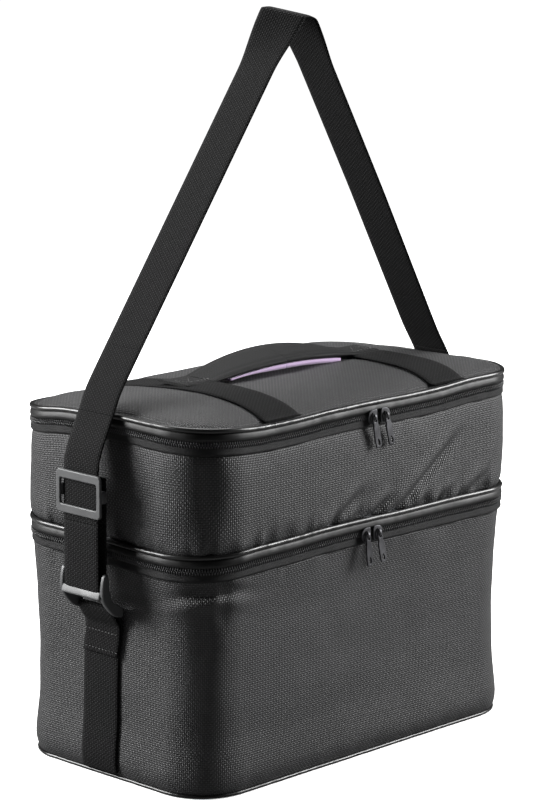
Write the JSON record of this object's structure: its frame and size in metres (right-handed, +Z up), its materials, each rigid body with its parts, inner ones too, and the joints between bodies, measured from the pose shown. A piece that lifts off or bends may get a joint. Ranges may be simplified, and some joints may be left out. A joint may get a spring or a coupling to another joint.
{
  "type": "two-tier insulated soft carrier",
  "caption": "Black two-tier insulated soft carrier with a deep lower case, a hinged upper tier, a domed zip lid, a padded handle and a shoulder strap.",
  "frame": {"origin": "centre of the base's underside, on the floor", "axes": "+Z up, +X along the long side to the object's right, -Y towards the front with the zip pulls"},
  "size_m": [0.4148, 0.2211, 0.5703],
  "materials": {
    "shell_fabric": "satin",
    "piping": "satin",
    "foam": "matte",
    "liner": "satin",
    "board": "matte",
    "zip_tape": "matte",
    "zip_coil": "satin",
    "zip_metal": "satin",
    "webbing": "matte",
    "hardware": "satin",
    "handle_fabric": "satin",
    "handle_lining": "matte"
  },
  "bodies": {
    "lower_case": {"base_panel": "shell_fabric", "base_piping": "piping", "base_board": "board", "base_foam": "foam", "lower_shell": "shell_fabric", "lower_foam": "foam", "lower_liner": "liner", "lower_zip_tape": "zip_tape", "lower_zip_teeth": "zip_coil", "lower_hinge_strip": "shell_fabric", "strap_anchor_left": "webbing", "strap_anchor_right": "webbing", "strap_lower_left": "webbing", "strap_lower_right": "webbing"},
    "upper_tier": {"tier_piping": "piping", "tier_band": "shell_fabric", "tier_zip_teeth": "zip_coil", "tier_floor_panel": "shell_fabric", "tier_floor_foam": "foam", "lower_lid_liner": "liner", "tier_shell": "shell_fabric", "tier_foam": "foam", "tier_liner": "liner", "lid_zip_tape": "zip_tape", "lid_zip_lower_teeth": "zip_coil", "lid_hinge_strip": "shell_fabric", "strap_mid_left": "webbing", "strap_mid_right": "webbing", "strap_tail_left": "webbing", "strap_tail_right": "webbing"},
    "lid": {"lid_piping": "piping", "lid_band": "shell_fabric", "lid_zip_upper_teeth": "zip_coil", "lid_panel": "shell_fabric", "lid_foam": "foam", "lid_liner": "liner", "lid_webbing_left": "webbing", "lid_webbing_right": "webbing", "handle_tab_left": "handle_fabric", "handle_tab_right": "handle_fabric", "strap_flex_left": "webbing", "strap_flex_right": "webbing"},
    "carry_handle": {"handle_sleeve": "handle_fabric", "handle_core": "foam", "handle_lining": "handle_lining"},
    "strap_loop": {"shoulder_strap": "webbing"},
    "buckle_left": {"strap_buckle_left": "hardware"},
    "adjuster_left": {"triglide_left": "hardware"},
    "lid_zip_slider_left": {"lid_slider_left": "zip_metal"},
    "lid_zip_pull_left": {"lid_pull_left": "zip_metal"},
    "lower_zip_slider_left": {"lower_slider_left": "zip_metal"},
    "lower_zip_pull_left": {"lower_pull_left": "zip_metal"},
    "buckle_right": {"strap_buckle_right": "hardware"},
    "adjuster_right": {"triglide_right": "hardware"},
    "lid_zip_slider_right": {"lid_slider_right": "zip_metal"},
    "lid_zip_pull_right": {"lid_pull_right": "zip_metal"},
    "lower_zip_slider_right": {"lower_slider_right": "zip_metal"},
    "lower_zip_pull_right": {"lower_pull_right": "zip_metal"}
  },
  "joints": [
    {"name": "tier_hinge", "type": "hinge", "parent": "lower_case", "child": "upper_tier", "pos_m": [0, 0.108, 0.1785], "axis": [-1, 0, 0], "range_deg": [0, 85]},
    {"name": "lid_hinge", "type": "hinge", "parent": "upper_tier", "child": "lid", "pos_m": [0, 0.1079, 0.264], "axis": [-1, 0, 0], "range_deg": [0, 100]},
    {"name": "handle_lift", "type": "slide", "parent": "lid", "child": "carry_handle", "axis": [0, 0, 1], "range_m": [0, 0.01]},
    {"name": "strap_swing", "type": "hinge", "parent": "lid", "child": "strap_loop", "pos_m": [0, 0, 0.308], "axis": [1, 0, 0], "range_deg": [-75, 75], "deforming": ["strap_flex_left", "strap_flex_right"]},
    {"name": "lid_slider_left_run", "type": "slide", "parent": "upper_tier", "child": "lid_zip_slider_left", "axis": [1, 0, 0], "range_m": [-0.125, 0]},
    {"name": "lid_pull_left_swing", "type": "hinge", "parent": "lid_zip_slider_left", "child": "lid_zip_pull_left", "pos_m": [-0.003, -0.1114, 0.27], "axis": [-1, 0, 0], "range_deg": [0, 160]},
    {"name": "lid_slider_right_run", "type": "slide", "parent": "upper_tier", "child": "lid_zip_slider_right", "axis": [1, 0, 0], "range_m": [0, 0.117]},
    {"name": "lid_pull_right_swing", "type": "hinge", "parent": "lid_zip_slider_right", "child": "lid_zip_pull_right", "pos_m": [0.011, -0.1114, 0.27], "axis": [-1, 0, 0], "range_deg": [0, 160]},
    {"name": "lower_slider_left_run", "type": "slide", "parent": "lower_case", "child": "lower_zip_slider_left", "axis": [1, 0, 0], "range_m": [-0.119, 0]},
    {"name": "lower_pull_left_swing", "type": "hinge", "parent": "lower_zip_slider_left", "child": "lower_zip_pull_left", "pos_m": [-0.009, -0.1114, 0.1785], "axis": [-1, 0, 0], "range_deg": [0, 160]},
    {"name": "lower_slider_right_run", "type": "slide", "parent": "lower_case", "child": "lower_zip_slider_right", "axis": [1, 0, 0], "range_m": [0, 0.124]},
    {"name": "lower_pull_right_swing", "type": "hinge", "parent": "lower_zip_slider_right", "child": "lower_zip_pull_right", "pos_m": [0.004, -0.1114, 0.1785], "axis": [-1, 0, 0], "range_deg": [0, 160]},
    {"name": "buckle_left_pivot", "type": "hinge", "parent": "lower_case", "child": "buckle_left", "pos_m": [-0.1874, 0, 0.1345], "axis": [0, 1, 0], "range_deg": [-3, 3]},
    {"name": "adjuster_left_run", "type": "slide", "parent": "upper_tier", "child": "adjuster_left", "axis": [0, 0, 1], "range_m": [-0.03, 0.012]},
    {"name": "buckle_right_pivot", "type": "hinge", "parent": "lower_case", "child": "buckle_right", "pos_m": [0.1874, 0, 0.1345], "axis": [0, 1, 0], "range_deg": [-3, 3]},
    {"name": "adjuster_right_run", "type": "slide", "parent": "upper_tier", "child": "adjuster_right", "axis": [0, 0, 1], "range_m": [-0.03, 0.012]}
  ]
}
